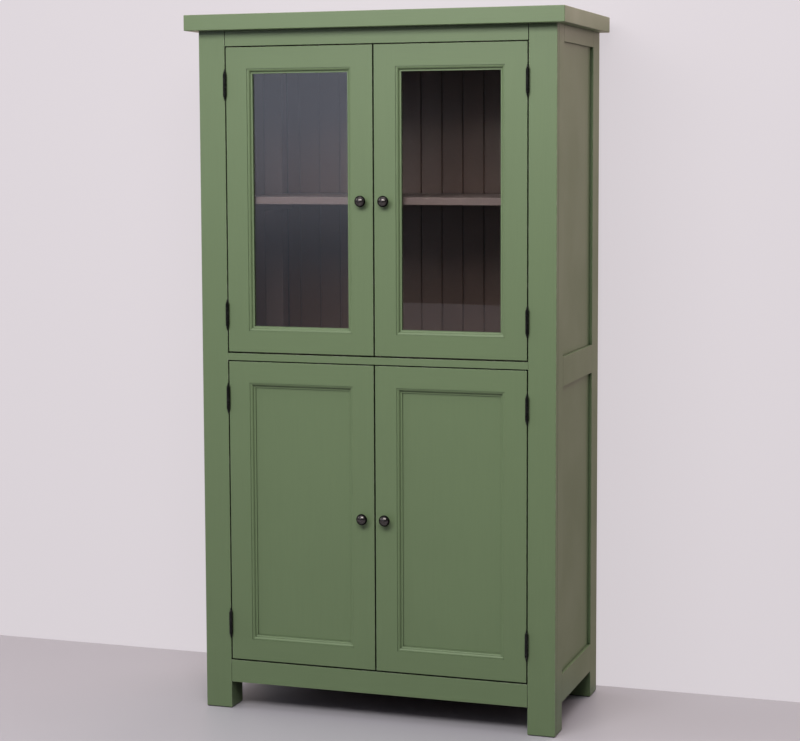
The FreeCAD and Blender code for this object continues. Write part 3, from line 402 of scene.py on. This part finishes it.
def catch_plastic(name):
    finish = Finish("plastic_" + name)
    speckle = finish.noise(finish.place(), *SPECKLE_NOISE)
    shader = finish.node("BsdfPrincipled", {
        "Base Color": finish.mix(speckle, PLASTIC, PALE_PLASTIC),
        "Roughness": finish.spread(speckle, *PLASTIC_ROUGH_SPREAD),
        "Normal": finish.bump(speckle, *PLASTIC_RELIEF)})
    return finish.end(shader.outputs[0])


def plated_steel(name):
    finish = Finish("steel_" + name)
    brushed = finish.noise(finish.stretched(finish.place(), BRUSH_STRETCH), *BRUSH_NOISE)
    shader = finish.node("BsdfPrincipled", {
        "Base Color": finish.mix(brushed, STEEL, BRIGHT_STEEL), "Metallic": 1.0,
        "Roughness": finish.spread(brushed, *STEEL_ROUGH_SPREAD),
        "Normal": finish.bump(brushed, *STEEL_RELIEF)})
    return finish.end(shader.outputs[0])


# Which finish each node gets

def grain_axis(name):
    """The way a piece's grain runs: along its longest side."""
    low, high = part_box(name)
    size = high - low
    return "xyz"[max(range(3), key=lambda axis: size[axis])]


def green_paint(name):
    on_door = body_of(nodes[name]) != ["carcass"]
    return painted(name, grain_axis(name), GREEN, None if on_door else TAUPE)


def taupe_paint(name):
    # The back boards get the darker taupe: painted shade for the dim back of the cabinet
    return painted(name, grain_axis(name), SHADED_TAUPE if name == "back_boards" else TAUPE)


FINISHES = {
    "green_paint": green_paint,
    "taupe_paint": taupe_paint,
    "clear_glass": clear_glass,
    "dark_bronze": dark_bronze,
    "black_iron": black_iron,
    "catch_plastic": catch_plastic,
    "plated_steel": plated_steel,
}


def dress_nodes():
    for part in frame["record"]["subparts"]:
        name, slot = part["node"], part["material_slot"]
        piece = nodes[name]
        piece.data.materials.clear()
        piece.data.materials.append(FINISHES[slot](name))


# Floor and wall

STAGE_REACH = 14.0
FLOOR_COLOUR = (0.49, 0.467, 0.505, 1.0)
FLOOR_NOISE = (1.4, 3.0)
FLOOR_SHADES = (0.97, 1.03)
FLOOR_ROUGHNESS = 0.5
# The floor as the cabinet's diffuse light meets it, so that little comes back up from it
FLOOR_BOUNCE = 0.15
WALL_GAP = 0.05
WALL_Y = cad_high.y + WALL_GAP
WALL_COLOUR = (0.79, 0.735, 0.772, 1.0)
WALL_GLOW = 0.75
# The wall as the paint's sheen shows it: brighter with height, and much more so past the slab
SHEEN_COLOUR = (0.98, 0.77, 0.69, 1.0)
SHEEN_RISE = (0.2, 2.0, 0.56, 0.95)
SHEEN_PAST_SLAB = (1.84, 1.92, 0.0, 0.85)

# The soft reflector that the left pane shows: its place, and how bright its foot and head are

REFLECTOR_X = (-3.4, -1.40)
REFLECTOR_Y = -4.2
REFLECTOR_Z = (0.55, 2.7)
REFLECTOR_COLOUR = (0.90, 0.95, 1.15, 1.0)
REFLECTOR_RISE = (0.7, 1.9, 0.24, 1.25)

# A black card between the back feet, which keeps the floor under the cabinet dark

CARD_COLOUR = (0.01, 0.01, 0.01, 1.0)


def shade(colour, factor):
    return tuple(c * factor for c in colour[:3]) + (1.0,)


def sheet_of(name, corners, material):
    mesh = bpy.data.meshes.new(name)
    mesh.from_pydata(corners, [], [tuple(range(len(corners)))])
    mesh.materials.append(material)
    made = bpy.data.objects.new(name, mesh)
    bpy.context.scene.collection.objects.link(made)
    return made


def upright(across, depth, heights):
    """The corners of a sheet that stands parallel to the cabinet's front."""
    (left, right), (low, high) = across, heights
    return [(left, depth, low), (right, depth, low), (right, depth, high), (left, depth, high)]


def floor_finish():
    finish = Finish("floor")
    cloud = finish.noise(finish.place(), *FLOOR_NOISE)
    colour = finish.mix(cloud, *(shade(FLOOR_COLOUR, factor) for factor in FLOOR_SHADES))
    bounced = finish.node("LightPath").outputs["Is Diffuse Ray"]
    colour = finish.mix(bounced, colour, shade(FLOOR_COLOUR, FLOOR_BOUNCE))
    shader = finish.node("BsdfPrincipled", {"Base Color": colour, "Roughness": FLOOR_ROUGHNESS})
    return finish.end(shader.outputs[0])


def wall_finish():
    """A pale wall, from its front only, for sight, glass and sheen; open to every other ray."""
    finish = Finish("wall")
    path = finish.node("LightPath").outputs
    behind = finish.node("NewGeometry").outputs["Backfacing"]
    sight = finish.math("MAXIMUM", path["Is Camera Ray"], path["Is Transmission Ray"])
    sheen = finish.math("LESS_THAN", sight, path["Is Glossy Ray"])
    sight = finish.math("MAXIMUM", sight, sheen)
    seen = finish.product(sight, finish.math("SUBTRACT", 1.0, behind))
    shaded = finish.node("BsdfDiffuse", {"Color": WALL_COLOUR}).outputs[0]
    glow = finish.node("Emission", {"Color": WALL_COLOUR, "Strength": 1.0}).outputs[0]
    height = finish.axes(finish.place())[2]
    strength = finish.math("ADD", finish.spread(height, *SHEEN_RISE),
                           finish.spread(height, *SHEEN_PAST_SLAB))
    reflected = finish.node("Emission", {"Color": SHEEN_COLOUR, "Strength": strength}).outputs[0]
    wall = finish.blend(sheen, finish.blend(WALL_GLOW, shaded, glow), reflected)
    return finish.end(finish.blend(seen, finish.node("BsdfTransparent").outputs[0], wall))


def reflector_finish():
    finish = Finish("reflector")
    strength = finish.spread(finish.axes(finish.place())[2], *REFLECTOR_RISE)
    glow = finish.node("Emission", {"Color": REFLECTOR_COLOUR, "Strength": strength})
    return finish.end(glow.outputs[0])


def card_finish():
    finish = Finish("card")
    return finish.end(finish.node("BsdfDiffuse", {"Color": CARD_COLOUR}).outputs[0])


def make_stage():
    reach = STAGE_REACH
    sheet_of("floor", [(-reach, -reach, 0), (reach, -reach, 0), (reach, reach, 0), (-reach, reach, 0)],
             floor_finish())
    sheet_of("wall", upright((-reach, reach), WALL_Y, (0, reach)), wall_finish())
    reflector = sheet_of("reflector", upright(REFLECTOR_X, REFLECTOR_Y, REFLECTOR_Z),
                         reflector_finish())
    reflector.visible_camera = False
    left_low, left_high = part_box("back_left_post")
    gap = (left_high.x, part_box("back_right_post")[0].x)
    depth = (left_low.y + left_high.y) / 2
    card = sheet_of("card", upright(gap, depth, (0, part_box("back_rails")[0].z)), card_finish())
    card.visible_camera = False
    card.visible_transmission = False


# Lamps and world

KEY_PLACE = (0.10, -3.0, 3.00)
KEY_AIM = (0.0, -0.2, 1.0)
KEY_SIZE = (3.2, 1.2)
KEY_WATTS = 98.0
KEY_COLOUR = (1.0, 0.99, 0.975)
BACK_PLACE = (0.0, 3.2, 2.7)
BACK_AIM = (0.0, 0.26, 1.0)
BACK_SIZE = (0.9, 1.2)
BACK_WATTS = 9.0
BACK_COLOUR = (1.0, 1.0, 1.0)
# The room's light: dim ahead of the cabinet, bright above it and to its left, and warm to its
# right and behind it, in spreads over the x, y and z of the direction that it comes from
ROOM_COLOUR = (0.98, 0.97, 1.0, 1.0)
WARM_COLOUR = (1.0, 0.78, 0.74, 1.0)
ROOM_LIGHT = 0.09
DIM_LIGHT = 0.035
DIM_Y = (-0.85, -0.35, 1.0, 0.0)
DIM_Z = (0.15, 0.5, 1.0, 0.0)
WARM_LIGHT = 1.90
WARM_X = (-0.1, 0.15)
WARM_Y = (0.2, 0.6)
WARM_Z = (0.25, 0.55)
SKY_Z = (0.6, 0.9, 0.0, 0.90)
LEFT_X = (-0.95, -0.65, 2.2, 0.0)
LEFT_Z = (0.1, 0.3)


def soft_lamp(name, place, aim, size, watts, colour):
    data = bpy.data.lights.new(name, "AREA")
    data.shape = "RECTANGLE"
    data.size, data.size_y = size
    data.energy = watts
    data.color = colour
    lamp = bpy.data.objects.new(name, data)
    lamp.location = place
    lamp.rotation_mode = "QUATERNION"
    lamp.rotation_quaternion = (Vector(aim) - Vector(place)).to_track_quat("-Z", "Y")
    bpy.context.scene.collection.objects.link(lamp)


def make_lamps():
    soft_lamp("key", KEY_PLACE, KEY_AIM, KEY_SIZE, KEY_WATTS, KEY_COLOUR)
    soft_lamp("back", BACK_PLACE, BACK_AIM, BACK_SIZE, BACK_WATTS, BACK_COLOUR)


def make_world():
    world = bpy.data.worlds.new("world")
    world.use_nodes = True
    world.node_tree.nodes.clear()
    finish = Finish("world", world.node_tree)
    x, y, z = finish.axes(finish.node("TexCoord").outputs["Generated"])
    dim = finish.product(finish.spread(y, *DIM_Y), finish.spread(z, *DIM_Z))
    warm = finish.product(finish.spread(x, *WARM_X), finish.spread(y, *WARM_Y),
                          finish.spread(z, *WARM_Z))
    strength = finish.spread(dim, 0.0, 1.0, ROOM_LIGHT, DIM_LIGHT)
    for extra in (finish.math("MULTIPLY", warm, WARM_LIGHT),
                  finish.spread(z, *SKY_Z),
                  finish.product(finish.spread(x, *LEFT_X), finish.spread(z, *LEFT_Z))):
        strength = finish.math("ADD", strength, extra)
    colour = finish.mix(warm, ROOM_COLOUR, WARM_COLOUR)
    room = finish.node("Background", {"Color": colour, "Strength": strength}).outputs[0]
    shown = finish.node("Background", {"Color": WALL_COLOUR, "Strength": 1.0}).outputs[0]
    seen = finish.node("LightPath").outputs["Is Camera Ray"]
    finish.feed(finish.node("OutputWorld").inputs["Surface"], finish.blend(seen, room, shown))
    bpy.context.scene.world = world


bpy.context.scene.view_settings.view_transform = "Standard"
make_camera()
dress_nodes()
make_stage()
make_lamps()
make_world()
